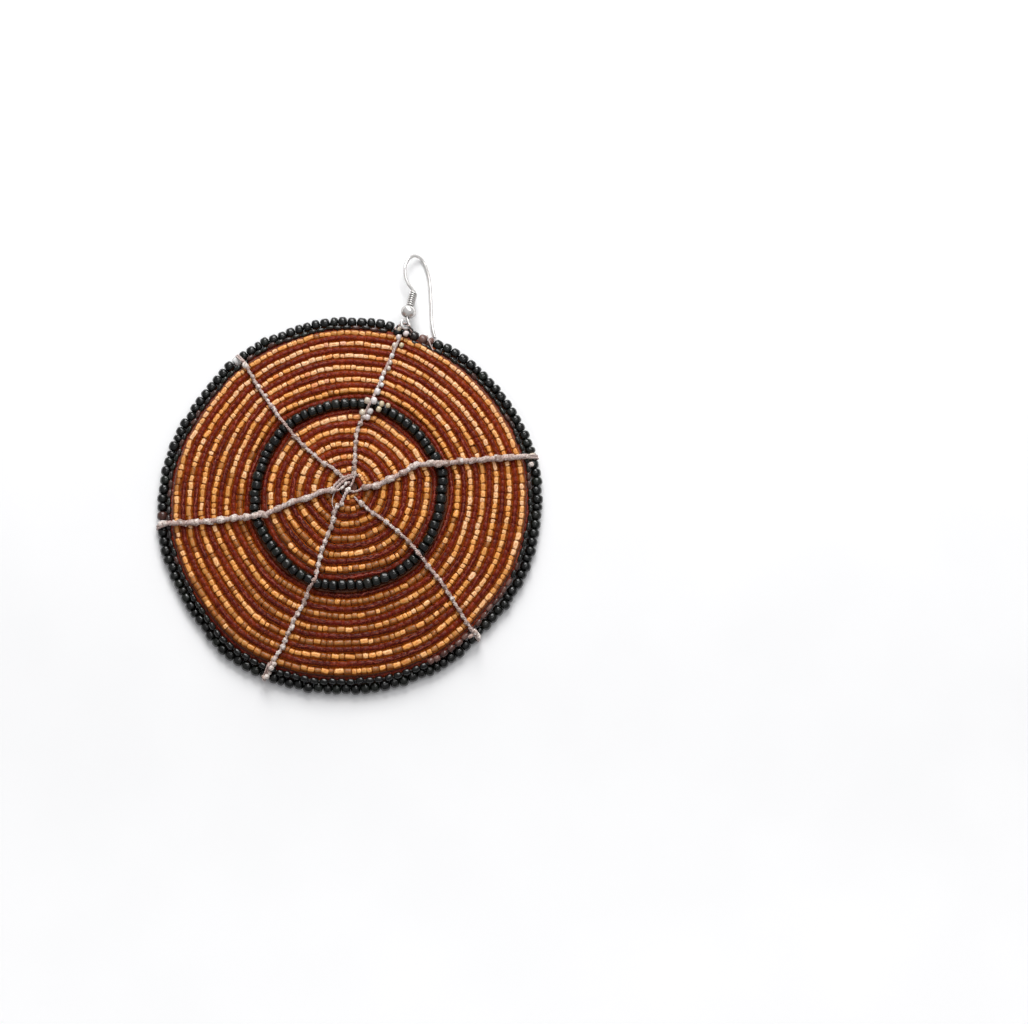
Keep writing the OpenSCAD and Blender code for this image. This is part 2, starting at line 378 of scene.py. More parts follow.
def brown_glass(tree):
    """Dark red glass, with a painted highlight broken along the middle and a painted amber glow of
    light at both sides.
    """
    patch, mottle = patch_and_mottle(tree, Patch_Scale=150.0, Mottle_Scale=620.0)
    bodies = [
        (0.0, (72, 6, 1)), (0.4, (98, 14, 2)), (0.75, (120, 28, 4)), (0.94, (152, 58, 14)),
        (1.0, (184, 102, 44))
    ]
    body = ramp_by_tone(tree, bodies)
    body = tint(tree, body, fade(tree, patch, 0.36, 0.5), 0.4, (152, 54, 12))
    across = attribute(tree, "across")
    # Painted highlight: a broken line of reflected light along the middle of the string, wavering
    # with the mottle.
    drift = math_node(tree, "SUBTRACT", mottle, 0.5)
    drift = math_node(tree, "MULTIPLY", drift, 1.8)
    line = math_node(tree, "ABSOLUTE", math_node(tree, "SUBTRACT", across, drift))
    line = fade(tree, line, 0.03, 0.18)
    painted_gleam = math_node(tree, "MULTIPLY", line, fade(tree, patch, 0.7, 0.44))
    colour = tint(tree, body, painted_gleam, 0.75, (178, 90, 72))
    # Painted light: towards the sides the amber glow of light through the glass takes over.
    side = rise(tree, math_node(tree, "ABSOLUTE", across), 0.54, 0.84)
    side = math_node(tree, "MULTIPLY", side, 0.9)
    colour = mix_colour(tree, side, colour, painted_amber_glow(tree, (122, 50, 4)))
    pits = fade(tree, object_noise(tree, 2600), 0.38, 0.56)
    colour = tint(tree, colour, pits, 0.5, (44, 5, 2))
    flecks = rise(tree, object_noise(tree, 3400), 0.54, 0.68)
    colour = tint(tree, colour, flecks, 0.4, (176, 92, 52))
    return {"Base_Color": colour}


def black_glass(tree):
    """Black glass; from a tone of 0.88 it turns dull brown."""
    patch, mottle = patch_and_mottle(tree, Patch_Scale=700.0, Mottle_Scale=1500.0)
    bodies = [
        (0.0, (6, 6, 6)), (0.5, (10, 11, 9)), (0.75, (16, 22, 14)), (0.88, (34, 26, 25)),
        (0.95, (84, 50, 42)), (1.0, (146, 110, 100))
    ]
    body = ramp_by_tone(tree, bodies)
    colour = tint(tree, body, fade(tree, mottle, 0.35, 0.6), 0.25, (30, 30, 27))
    rough = math_node(tree, "MULTIPLY_ADD", patch, 0.3, 0.1)
    return {"Base_Color": colour, "Roughness": rough}


def pale_glass(tree):
    """Milky beads, from cream to white by their tone, with painted shade that darkens them towards
    their outline.
    """
    _, mottle = patch_and_mottle(tree, Mottle_Scale=1700.0)
    bodies = [
        (0.0, (196, 170, 120)), (0.35, (206, 188, 152)), (0.6, (214, 200, 186)),
        (0.8, (226, 212, 210)), (1.0, (232, 234, 234))
    ]
    body = ramp_by_tone(tree, bodies)
    mottle = fade(tree, mottle, 0.35, 0.65)
    colour = tint(tree, body, mottle, 0.4, (168, 150, 136))
    # Painted shade: outside the core mask the bead turns grey towards its sides and ends.
    masks = place_group(tree, CORE_GROUP, Core_Start=0.7, Core_End=1.05, Length_Share=0.9)
    colour = mix_colour(tree, masks["Core"], linear((120, 108, 100)), colour)
    return {"Base_Color": colour}


def thread_fibre(tree, pale, shadow, warm):
    """Waxed thread: fine fibres in its shadow colour, and a slow change from pale to warm."""
    patch, mottle = patch_and_mottle(tree, Patch_Scale=260.0, Mottle_Scale=3800.0)
    patch = fade(tree, patch, 0.38, 0.62)
    colour = mix_colour(tree, patch, linear(pale), linear(warm))
    colour = tint(tree, colour, fade(tree, mottle, 0.3, 0.55), 0.55, shadow)
    return {"Base_Color": colour, "Normal": bump(tree, mottle, 0.5, 0.00006)}


def knot_fibre(tree):
    """Lumps of wound and waxed thread, paler or darker by their tone, with painted pale highlights.
    """
    patch, mottle = patch_and_mottle(tree, Patch_Scale=1500.0, Mottle_Scale=2800.0)
    waxes = [
        (0.0, (150, 122, 108)), (0.3, (184, 158, 148)), (0.6, (208, 188, 178)),
        (1.0, (238, 228, 220))
    ]
    colour = ramp_by_tone(tree, waxes)
    fibres = fade(tree, mottle, 0.42, 0.54)
    colour = tint(tree, colour, fibres, 0.6, (120, 92, 76))
    # Painted highlight: pale specks in the base colour.
    painted_glints = rise(tree, patch, 0.56, 0.68)
    colour = tint(tree, colour, painted_glints, 0.6, (250, 244, 238))
    return {"Base_Color": colour, "Normal": bump(tree, mottle, 0.6, 0.00008)}


def bright_wire(tree):
    """Plated wire: bright, with soft smears in its colour and gloss."""
    patch, mottle = patch_and_mottle(tree, Patch_Scale=420.0, Mottle_Scale=2400.0)
    smear = fade(tree, patch, 0.35, 0.65)
    colour = mix_colour(tree, smear, linear((248, 246, 243)), linear((224, 221, 218)))
    rough = math_node(tree, "MULTIPLY_ADD", mottle, 0.16, 0.08)
    return {"Base_Color": colour, "Roughness": rough}


GOLD = new_material(
    "gold_lined_glass", gold_glass, Roughness=0.4, Coat_Weight=0.2, Coat_Roughness=0.15,
    Specular_IOR_Level=0.25
)
BROWN = new_material(
    "red_brown_glass", brown_glass, Roughness=0.45, Coat_Weight=0.05, Coat_Roughness=0.2,
    Specular_IOR_Level=0.12
)
BLACK = new_material(
    "black_glass", black_glass, Coat_Weight=0.55, Coat_Roughness=0.06, Specular_IOR_Level=0.2
)
PALE = new_material(
    "pale_glass", pale_glass, Roughness=0.18, Coat_Weight=0.7, Coat_Roughness=0.05,
    Specular_IOR_Level=0.6
)
KNOTS = new_material(
    "knot_fibre", knot_fibre, Roughness=0.5, Sheen_Weight=0.15, Specular_IOR_Level=0.35
)
WIRE = new_material(
    "bright_plate", bright_wire, Metallic=0.6, Specular_Tint=linear((120, 118, 118))
)
THREAD = {"Roughness": 0.6, "Sheen_Weight": 0.25, "Sheen_Roughness": 0.4}
STITCH, STRING, DARK_STRING_AND_PAINTED_SHADE = (
    new_material(name, thread_fibre, *colours, **THREAD)
    for name, *colours in (
        ("spoke_thread", (202, 184, 178), (116, 96, 90), (190, 160, 150)),
        # The strings' amber thread is partly painted light: its colour gives the gaps between beads
        # the glow of light through the glass in place of shade.
        ("string_thread", (112, 54, 16), (60, 24, 6), (92, 40, 10)),
        # The third, dark thread is the rim's thread, and also the painted shade inside the coil and
        # the ball's bore.
        ("rim_thread", (34, 30, 28), (12, 10, 10), (28, 22, 20)),
    )
)


# Beads and threads


def deselect():
    for each in bpy.data.objects:
        each.select_set(False)


def activate(obj):
    deselect()
    obj.select_set(True)
    bpy.context.view_layer.objects.active = obj


def bead_pattern(sides, rounding, segments):
    """The points and faces of a bead that is one unit across and one long, lying along Y."""
    deselect()
    along_y = (math.pi / 2, 0, 0)
    bpy.ops.mesh.primitive_cylinder_add(vertices=sides, radius=0.5, depth=1, rotation=along_y)
    bead = bpy.context.object
    bpy.ops.object.transform_apply(location=False, rotation=True, scale=False)
    bpy.ops.object.mode_set(mode="EDIT")
    bpy.ops.mesh.select_mode(type="EDGE")
    mesh = bmesh.from_edit_mesh(bead.data)
    for edge in mesh.edges:
        same_end = abs(edge.verts[0].co.y - edge.verts[1].co.y) < 0.1
        edge.select_set(same_end)
    bmesh.update_edit_mesh(bead.data)
    bpy.ops.mesh.bevel(offset=rounding, segments=segments, profile=0.5)
    bpy.ops.object.mode_set(mode="OBJECT")
    verts = np.array([v.co for v in bead.data.vertices])
    faces = [tuple(f.vertices) for f in bead.data.polygons]
    bpy.data.objects.remove(bead)
    return verts, faces


TUBE_BEAD = bead_pattern(12, 0.14, 2)
DISC_BEAD = bead_pattern(12, 0.28, 3)
SOFT_BEAD = bead_pattern(12, 0.06, 1)
ROUND_BEAD = bead_pattern(12, 0.34, 3)
LUMP = bead_pattern(10, 0.4, 3)


class Strand:
    """A closed or open path with its length measured."""

    def __init__(self, points, closed=False):
        self.closed = closed
        self.points = np.vstack([points, points[:1]]) if closed else np.asarray(points, float)
        steps = np.linalg.norm(np.diff(self.points, axis=0), axis=1)
        self.marks = np.concatenate([[0], np.cumsum(steps)])
        self.length = self.marks[-1]

    def at(self, s):
        return np.stack([np.interp(s, self.marks, self.points[:, k]) for k in range(3)], axis=-1)

    def heading(self, s):
        """The direction at s, taken over 0.3 mm to each side of it."""
        low = np.clip(np.asarray(s) - 0.3, 0, self.length)
        high = np.clip(np.asarray(s) + 0.3, 0, self.length)
        return unit(self.at(high) - self.at(low))

    def spaced(self, count):
        """Points at equal steps round a closed path."""
        return self.at(np.linspace(0, self.length, count, endpoint=False))


def draws(chance, spread, count):
    return np.array([chance.gauss(0, spread) for _ in range(count)])


def link_object(name, data, material):
    obj = bpy.data.objects.new(name, data)
    bpy.context.scene.collection.objects.link(obj)
    obj.data.materials.append(material)
    return obj


def beads_object(name, material, pattern, centres, headings, sizes, tones, chance, lean, rough=0.0):
    """Copies of one bead as one mesh, each leaning a little, with the attributes that the
    materials read: its tone, and the places across and along it."""
    verts, faces = pattern
    count = len(centres)
    ups = unit(np.cross(np.cross(headings, UP), headings))
    outs = np.cross(headings, ups)
    turn = np.radians([[chance.gauss(0, lean) for _ in range(2)] for _ in range(count)])
    headings = unit(headings + turn[:, :1] * outs + turn[:, 1:] * ups)
    outs = unit(np.cross(headings, ups))
    ups = np.cross(outs, headings)
    axes = np.stack([outs, headings, ups], axis=1) * sizes[:, :, None]
    points = centres[:, None, :] + np.einsum("vk,bkj->bvj", verts, axes)
    if rough:
        points = points + np.random.default_rng(count).normal(0, rough, points.shape)
    all_faces = [tuple(i + len(verts) * b for i in face) for b in range(count) for face in faces]
    mesh = bpy.data.meshes.new("beads")
    mesh.from_pydata(points.reshape(-1, 3) * MM, [], all_faces)
    values = {
        "tone": np.repeat(tones, len(verts)),
        "across": np.tile(verts[:, 0] * 2, count),
        "along": np.tile(verts[:, 1] * 2, count),
    }
    for label, data in values.items():
        layer = mesh.attributes.new(label, "FLOAT", "POINT")
        layer.data.foreach_set("value", data.astype(np.float32))
    mesh.shade_smooth()
    return link_object(name, mesh, material)


def thread_object(name, paths, d, material, sides=6, closed=False):
    """Threads of one thickness along point lists, as one mesh."""
    curve = bpy.data.curves.new(name, "CURVE")
    curve.dimensions = "3D"
    curve.bevel_depth = d / 2 * MM
    curve.bevel_resolution = max(sides // 2 - 2, 0)
    curve.use_fill_caps = not closed
    for path in paths:
        spline = curve.splines.new("POLY")
        spline.points.add(len(path) - 1)
        flat = np.hstack([np.asarray(path) * MM, np.ones((len(path), 1))])
        spline.points.foreach_set("co", flat.ravel())
        spline.use_cyclic_u = closed
        spline.use_smooth = True
    obj = link_object(name, curve, material)
    activate(obj)
    bpy.ops.object.convert(target="MESH")
    return bpy.context.object


def join(name, parts):
    activate(parts[0])
    for part in parts[1:]:
        part.select_set(True)
    bpy.ops.object.join()
    parts[0].name = name
    parts[0].data.name = name
    return parts[0]


def finish_piece(piece, node):
    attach(piece, "root")
    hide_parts(node)


def smooth_path(points, steps=6):
    """A smooth curve through points, by a Catmull-Rom rule."""
    p = np.array([points[0], *points, points[-1]], float)
    out = []
    for i in range(1, len(p) - 2):
        a, b, c, e = p[i - 1 : i + 3]
        for t in np.arange(steps) / steps:
            square = t**2 * (2 * a - 5 * b + 4 * c - e)
            cube = t**3 * (3 * b - a - 3 * c + e)
            out.append(0.5 * (2 * b + t * (c - a) + square + cube))
    out.append(p[-2])
    return np.array(out)


def helix(strand, radius, turn_length, phase, steps_per_turn=8):
    """Points that wind round a strand."""
    turns = strand.length / turn_length
    count = max(int(turns * steps_per_turn), 2)
    s = np.linspace(0, strand.length, count + 1)
    ahead = strand.heading(s)
    side = unit(np.cross(ahead, UP))
    top = np.cross(side, ahead)
    angle = np.linspace(0, 360 * turns, count + 1) + phase
    return strand.at(s) + radius * (cos(angle)[:, None] * side + sin(angle)[:, None] * top)


def two_plies(strand, radius, turn_length=1.3):
    return [helix(strand, radius, turn_length, phase) for phase in (0, 180)]


def string_strand(r, z, first=0, last=360):
    """The string of radius r at the height z, all the way round or from one angle to another."""
    closed = last - first >= 360
    return Strand(row_point(r, z, np.linspace(first, last, 720, endpoint=not closed)), closed)


def centre_of(r):
    return HUB + np.array([0, -DRIFT * r, 0])


def angle_of(points, r):
    """The angle of points about the centre of the string of radius r."""
    flat = points - centre_of(r)
    return np.degrees(np.arctan2(flat[:, 1], flat[:, 0])) % 360


# Strings of small beads


# Small beads of one colour. Their sizes are (share, mean length, spread); width, sideways and
# lift are spreads too; fill is a bead's length against its share of the string; tones are the
# two shape values of a beta distribution, and lean is in degrees.
SmallBeads = namedtuple("SmallBeads", "material pattern sizes width sideways lift fill tones lean")
GOLD_SIZES = [(0.3, 0.98, 0.1), (0.48, 1.32, 0.14), (0.22, 1.75, 0.2)]
BROWN_SIZES = [(0.2, 1.2, 0.1), (0.8, 1.6, 0.22)]
SMALL_BEADS = {
    "gold": SmallBeads(GOLD, TUBE_BEAD, GOLD_SIZES, 0.07, 0.05, 0.05, 1.03, (3.4, 3.6), 4),
    "brown": SmallBeads(BROWN, SOFT_BEAD, BROWN_SIZES, 0.02, 0.03, 0.015, 1.1, (2.0, 2.4), 0.8),
}
SHORTEST_BEAD = 0.62
TOP_AT = 92
# The strings from the middle outwards, brown and gold in turn: radius, pitch and kind
KINDS = ("brown", "gold")
ROWS = [(INNER_R + INNER_PITCH * k, INNER_PITCH, KINDS[k % 2]) for k in range(INNER_ROWS)]
ROWS += [(OUTER_R + OUTER_PITCH * k, OUTER_PITCH, KINDS[k % 2]) for k in range(OUTER_ROWS)]


def row_pitch(r, angles, pitch):
    """The distance between this string and the next at each angle."""
    across = (row_point(r + 0.5, 0, angles) - row_point(r - 0.5, 0, angles))[:, :2]
    return pitch * np.linalg.norm(across, axis=1)


def local_shift(kind, index, angles):
    """How dull or bright the string is there, as a shift of the beads' tone: a slow swing from
    brighter at the upper left to darker at the lower right, and painted shade on the lower left.
    """
    shift = 0.10 * sin(angles - 20)
    # Painted shade: the strings darken towards the lower left, the side of the disc away from the
    # light.
    dull = (0.5 + 0.5 * cos(angles - 245)) ** 2
    near_top = hump(angles, TOP_AT, 26)
    if kind == "brown":
        shift = shift - 0.2 * dull
        if index == 1:
            shift = shift + 0.6 * hump(angles, 275, 35)
        if index == 13:
            shift = shift + 0.12 + 0.35 * hump(angles, 312, 25)
    else:
        shift = shift - 0.31 * dull
        if index in (1, 6):
            shift = shift - 0.22
        if index == 10:
            shift = shift + 0.28 * near_top
        if index == 11:
            shift = shift - 0.42 * near_top
    return shift


def sway(r, angles):
    """How far the beads of a string stray outwards; strings side by side stray together."""
    wave = 0.1 * sin(5 * angles + 24 * r) + 0.08 * sin(8 * angles - 17 * r + 100)
    lifted_top = hump(angles, TOP_AT, 14) * hump(r, 31.5, 2.2)
    return wave * np.clip((34 - r) / 4, 0, 1) * np.clip(r / 10, 0.3, 1) + 0.32 * lifted_top


def mixed_lengths(total, sizes, chance):
    """Bead lengths that together fill the total, drawn from (share, mean, spread) sizes."""
    shares = [share for share, _, _ in sizes]
    lengths = []
    while sum(lengths) < total:
        _, mean, spread = chance.choices(sizes, shares)[0]
        lengths.append(max(chance.gauss(mean, spread), SHORTEST_BEAD))
    return np.array(lengths) * total / sum(lengths)


def string_tones(kind, index, angles, chance):
    tones = np.array([chance.betavariate(*SMALL_BEADS[kind].tones) for _ in angles])
    if kind == "brown":
        tones = (tones + np.roll(tones, 1) + np.roll(tones, 2)) / 3
    return np.clip(tones + local_shift(kind, index, angles), 0, 1)


def string_threads(strand, r, z, pitch):
    """The thread through a string's beads, and one lower down beside it, in the gap to the next
    string, whose amber paints the glow of light through the glass there.
    """
    path = strand.spaced(max(int(strand.length / 1.2), 16))
    bed = string_strand(r + pitch / 2, z - 0.35).spaced(len(path))
    paths = [path] if r == LAST_R else [path, bed]
    return thread_object("strings", paths, 0.5, STRING, closed=True)


def string_of_beads(kind, index, r, z, pitch):
    sort = SMALL_BEADS[kind]
    chance = random.Random(f"{kind} {index}")
    strand = string_strand(r, z)
    lengths = mixed_lengths(strand.length, sort.sizes, chance)
    middles = np.cumsum(lengths) - lengths / 2
    centres = strand.at(middles)
    headings = strand.heading(middles)
    angles = angle_of(centres, r)
    count = len(lengths)
    wide = np.minimum(row_pitch(r, angles, pitch) * 1.03, 1.4)
    widths = wide * (1 + np.clip(draws(chance, sort.width, count), -0.16, 0.06))
    sideways = draws(chance, sort.sideways, count) + sway(r, angles)
    lift = draws(chance, sort.lift, count)
    centres = centres + np.cross(headings, UP) * sideways[:, None] + UP * lift[:, None]
    sizes = np.stack([widths, lengths * sort.fill, np.minimum(widths, 1.2)], axis=1)
    tones = string_tones(kind, index, angles, chance)
    name = f"{kind}_beads_{index:02d}"
    beads = beads_object(
        name, sort.material, sort.pattern, centres, headings, sizes, tones, chance, sort.lean
    )
    piece = join(name, [beads, string_threads(strand, r, z, pitch)])
    finish_piece(piece, f"{kind}_row_{index:02d}")


def small_strings():
    counts = {"gold": 0, "brown": 0}
    for order, (r, pitch, kind) in enumerate(ROWS):
        counts[kind] += 1
        beside_ring = order in (INNER_ROWS - 1, INNER_ROWS)
        z = dome_z(r) - (BESIDE_SINK if beside_ring else 0)
        string_of_beads(kind, counts[kind], r, z, pitch)
    string_of_beads("brown", counts["brown"] + 1, LAST_R, LAST_Z, OUTER_PITCH)


# Strings of black beads


# Beads of the rim and of the black ring: share, mean length and spread
RIM_SIZES = [(0.12, 1.35, 0.08), (0.88, 1.79, 0.1)]
RING_SIZES = [(0.1, 1.35, 0.08), (0.9, 1.68, 0.12)]
# Beads wider than their tube, as a share
RIM_WIDER = 1.05
RING_WIDER = 1.08
# The lower row's beads of other glass: angle, material and tone
OTHER_BEADS = [(127, PALE, 1.0), (183.4, BLACK, 0.93), (186.3, PALE, 0.85), (14.5, PALE, 0.5)]
# Rusty beads round this angle, beads that a spoke's end squeezes, and dull ones in the upper
# row: the angle and the reach to each side
RUSTY = (66, 4.5)
SQUEEZED = (312.8, 2.6)
DULL = (314, 19)
# Where the upper row shows best
BOTTOM_AT = 262
# How far the rim is pulled inwards under the hook, by its angle
DENT = 1.15
DENT_ANGLES = [58, 64, 70, 75.5, 77.5]
DENT_SHARES = [0, 0.45, 1, 1, 0]


def black_beads(name, at_rim, centres, headings, sizes, tones, others, chance):
    """The beads of a black string; others maps a bead to its own (material, tone)."""
    pattern, lean = (ROUND_BEAD, 6) if at_rim else (DISC_BEAD, 7)
    plain = np.array([i not in others for i in range(len(centres))])
    beads = [values[plain] for values in (centres, headings, sizes, tones)]
    parts = [beads_object(name, BLACK, pattern, *beads, chance, lean)]
    for i, (material, tone) in others.items():
        one = slice(i, i + 1)
        bead = (centres[one], headings[one], sizes[one], np.array([tone]))
        parts.append(beads_object("other", material, ROUND_BEAD, *bead, chance, lean))
    return parts


def black_row(
    name, node, strand, middles, lengths, widths, tones, others, extra=(), inward=0.0, at_rim=True
):
    """A string of black beads with its thread, joined with the extra objects."""
    chance = random.Random(name)
    centres = strand.at(middles)
    headings = strand.heading(middles)
    count = len(middles)
    sideways = draws(chance, 0.09, count) - inward
    lift = np.abs(draws(chance, 0.05, count)) - inward
    if at_rim:
        dent = DENT * np.interp(angle_of(centres, RIM_R), DENT_ANGLES, DENT_SHARES)
        sideways = sideways - dent
        lift = lift + 0.5 * dent
    centres = centres + np.cross(headings, UP) * sideways[:, None] + UP * lift[:, None]
    widths = widths * (1 - np.minimum(np.abs(draws(chance, 0.035, count)), 0.1))
    sizes = np.stack([widths, lengths, np.minimum(widths, LARGE_D * 0.98)], axis=1)
    parts = black_beads(name, at_rim, centres, headings, sizes, tones, others, chance)
    parts.append(thread_object("string", [centres], 0.3, DARK_STRING_AND_PAINTED_SHADE, closed=strand.closed))
    finish_piece(join(name, parts + list(extra)), node)


def black_tones(name, count):
    chance = random.Random(name + " tones")
    return np.array([min(chance.betavariate(2.0, 3.2), 0.8) for _ in range(count)])


def nearest(angles, angle):
    return int(np.argmin(np.abs((angles - angle + 180) % 360 - 180)))


def eye_bead():
    """The bead that the hook's eye rests on, lying along the rim outside the others."""
    place = np.array([[10.92, 34.55 + MIDDLE_Y, 1.7]])
    heading = np.array([[-sin(HOOK_ANGLE), cos(HOOK_ANGLE), 0]])
    size = np.array([[1.15, 2.35, 1.15]])
    chance = random.Random("eye")
    tone = np.array([0.2])
    return beads_object("eye_bead", BLACK, ROUND_BEAD, place, heading, size, tone, chance, 0)


def black_ring():
    """The black ring, with brown thread that closes the gaps on both sides of it."""
    strand = string_strand(BLACK_R, dome_z(BLACK_R) + BLACK_LIFT)
    lengths = mixed_lengths(strand.length, RING_SIZES, random.Random("ring"))
    middles = np.cumsum(lengths) - lengths / 2
    tones = black_tones("ring", len(lengths))
    beside = [string_strand(BLACK_R + side, dome_z(BLACK_R) - 0.45) for side in (-0.85, 0.85)]
    paths = [each.spaced(120) for each in beside]
    threads = thread_object("beside", paths, 0.8, STRING, closed=True)
    black_row(
        "black_ring_beads", "black_row", strand, middles, lengths, LARGE_D * RING_WIDER, tones, {},
        extra=[threads], at_rim=False
    )


def lower_rim(lower, lengths):
    middles = np.cumsum(lengths) - lengths / 2
    angles = angle_of(lower.at(middles), RIM_R)
    tones = np.clip(black_tones("rim", len(lengths)) + 0.85 * hump(angles, *RUSTY), 0, 0.97)
    others = {nearest(angles, angle): (material, tone) for angle, material, tone in OTHER_BEADS}
    squeezed = np.abs(angles - SQUEEZED[0]) < SQUEEZED[1]
    widths = LARGE_D * np.where(squeezed, 0.74, RIM_WIDER)
    black_row(
        "rim_beads_lower", "rim_row_lower", lower, middles, lengths * 0.96, widths, tones, others,
        extra=[eye_bead()]
    )


def upper_rim(lower, lengths):
    """The upper row, open where the hook is tied on. Each of its beads lies between two of the
    lower row's; away from the bottom they are smaller, paler and further in."""
    upper = string_strand(UPPER_R, UPPER_Z)
    share = upper.length / lower.length
    places = np.cumsum(lengths) * share
    steps = np.minimum((lengths + np.roll(lengths, -1)) / 2 * share, 1.7)
    angles = angle_of(upper.at(places), UPPER_R)
    from_hook = np.abs((angles - HOOK_ANGLE + 180) % 360 - 180)
    first = HOOK_ANGLE + TIE_HALF_GAP
    start = upper.marks[nearest(np.linspace(0, 360, len(upper.marks)), first)]
    places = (places - start) % upper.length
    kept = np.flatnonzero(from_hook > TIE_HALF_GAP + 1.2)
    kept = kept[np.argsort(places[kept])]
    angles = angles[kept]
    near_bottom = np.clip((60 - np.abs(angles - BOTTOM_AT)) / 25, 0, 1)
    dull = np.flatnonzero(np.abs(angles - DULL[0]) < DULL[1])
    others = {int(i): (BLACK, 0.94 + 0.012 * (i % 4)) for i in dull}
    tones = black_tones("upper rim", len(places))[kept] * 0.8
    tones = np.minimum(tones + 0.5 * (1 - near_bottom), 0.93)
    widths = UPPER_D * (0.74 + 0.3 * near_bottom)
    open_part = string_strand(UPPER_R, UPPER_Z, first, HOOK_ANGLE - TIE_HALF_GAP + 360)
    black_row(
        "rim_beads_upper", "rim_row_upper", open_part, places[kept], steps[kept] * 0.92, widths,
        tones, others, inward=0.3 * (1 - near_bottom)
    )


def rim():
    lower = string_strand(RIM_R, LARGE_D / 2)
    lengths = mixed_lengths(lower.length, RIM_SIZES, random.Random("rim"))
    lower_rim(lower, lengths)
    upper_rim(lower, lengths)


# Thread spokes

# The left and right spokes are heavy, the others fine. Their thickness, and how far out their
# plies wind and how thick these are, as shares of it
HEAVY_SPOKES = (1, 4)
HEAVY_PLIES = (1.0, 0.22, 0.58)
FINE_PLIES = (0.76, 0.18, 0.46)
TIE_SHARE = 0.44
# Routes of the spokes, counter-clockwise from the right: the radii of strings that each
# crosses, and its angles there
ROUTES = [
    ([2, 3.7, 5.6, 7.3, 9.9, 13.7, 17.7, 22.6, 28.7, 35],
     [-2, 3.7, 7.2, 13.8, 17.5, 22.5, 18.3, 17, 15.4, 14.4]),
    ([2, 3.5, 6, 8.3, 12, 15.6, 18.4, 23.7, 29.6, 34],
     [66, 73, 79, 82, 82.7, 79, 76.8, 75.3, 74.2, 73.5]),
    ([2, 4, 7.2, 12.7, 16.8, 25.4, 32.7, 35],
     [118, 125, 134, 134.5, 132.9, 129.8, 127.4, 127]),
    ([2, 4.9, 6.4, 9.8, 13, 16, 18, 21.5, 26.8, 35],
     [187, 186, 190.5, 191.8, 193.6, 195, 194.6, 191.8, 189.9, 187.2]),
    ([2, 4.3, 6.6, 8.1, 9.2, 14, 17.6, 19.6, 22.5, 25.2, 30.7, 35],
     [233, 239.3, 243.6, 246.2, 245.6, 247.6, 250.2, 248.2, 248.3, 246.8, 246.8, 245]),
    ([2, 3.8, 5.5, 6.9, 8.7, 12.3, 14.7, 17.6, 21.2, 25.7, 29.5, 35],
     [305, 310.3, 313.2, 316.5, 319, 320.5, 320.5, 318.8, 317.6, 316.3, 314.7, 313.2]),
]
# Radius at which each spoke comes out of the knot
SPOKE_STARTS = [3.2, 2.9, 2.5, 3.1, 4.1, 3.7]
# Lumps at the spokes' outer ends: x and y from the disc's centre, width, length, turn and tone
END_LUMPS = {
    1: [
        (30.5, 8.66, 1.1, 2.8, 3, 0.6), (33.5, 8.8, 1.05, 2.4, 3, 0.7),
        (34.9, 7.5, 1.0, 1.1, 0, 0.9)
    ],
    3: [(-20.4, 26.9, 1.15, 1.2, 130, 1.0)],
    4: [(-35.9, -4.3, 1.1, 1.3, 170, 0.9), (-35.1, -4.3, 1.0, 1.1, 190, 0.8)],
    5: [
        (-13.9, -31.6, 1.0, 0.95, 240, 0.7), (-14.4, -32.33, 1.05, 0.95, 235, 0.9),
        (-14.9, -33.05, 1.0, 0.95, 245, 0.7), (-15.3, -33.8, 1.0, 1.0, 250, 1.0),
        (-15.9, -33.9, 0.8, 0.9, 300, 0.6)
    ],
    6: [
        (24.2, -25.4, 1.0, 1.3, 315, 0.6), (24.8, -25.9, 0.85, 1.6, 290, 1.0),
        (23.4, -26.2, 0.7, 1.3, 225, 0.3)
    ],
}
# Pale beads beside the upper spoke: x and y from the disc's centre, size and tone
TOP_LUMPS = [
    (9.3, 34.4, 0.9, 0.5), (10.7, 33.2, 1.15, 0.8), (9.25, 32.5, 1.1, 0.75),
    (8.5, 30.85, 1.1, 0.6), (9.85, 30.9, 1.0, 0.3), (8.0, 28.7, 1.0, 1.0), (7.7, 27.3, 0.9, 0.6),
    (7.4, 26.1, 0.9, 0.6), (6.5, 25.15, 1.0, 0.7), (6.1, 24.0, 1.05, 1.0), (6.1, 22.7, 0.9, 1.0),
    (5.3, 21.25, 1.35, 0.85), (4.7, 19.2, 1.4, 0.9), (3.45, 19.2, 1.3, 0.5),
    (6.2, 18.6, 1.1, 0.35), (5.65, 17.5, 1.1, 0.35), (7.4, 18.3, 1.0, 0.25), (2.5, 17.0, 1.3, 0.5),
    (4.0, 17.2, 1.2, 0.9), (3.5, 16.1, 1.2, 0.8),
]
# A loose end of thread on the rim beside the hook
LOOSE_END = [(14.75, 33.2, 2.3), (14.95, 32.6, 2.8), (15.4, 31.15, 3.3), (15.95, 29.95, 3.4)]
# Where the spokes end and, of the upper one, where it ends and where its windings stop
SPOKE_END = 34.95
TOP_SPOKE = 2
TOP_SPOKE_END = 33.9
TOP_WOUND_TO = 15.5
# Lumps of winding: width and length over the brown strings, then over the gold ones
HEAVY_LUMPS = (1.34, 1.95, 0.9, 1.1)
FINE_LUMPS = (0.66, 1.15, 0.98, 0.98)
ROUND_LUMPS = (0.9, 1.22, 0.95, 1.25)
TOP_SPOKE_LUMPS = (0.85, 1.15, 0.95, 1.0)
LUMP_SIZES = {1: HEAVY_LUMPS, TOP_SPOKE: TOP_SPOKE_LUMPS, 4: HEAVY_LUMPS, 5: ROUND_LUMPS}
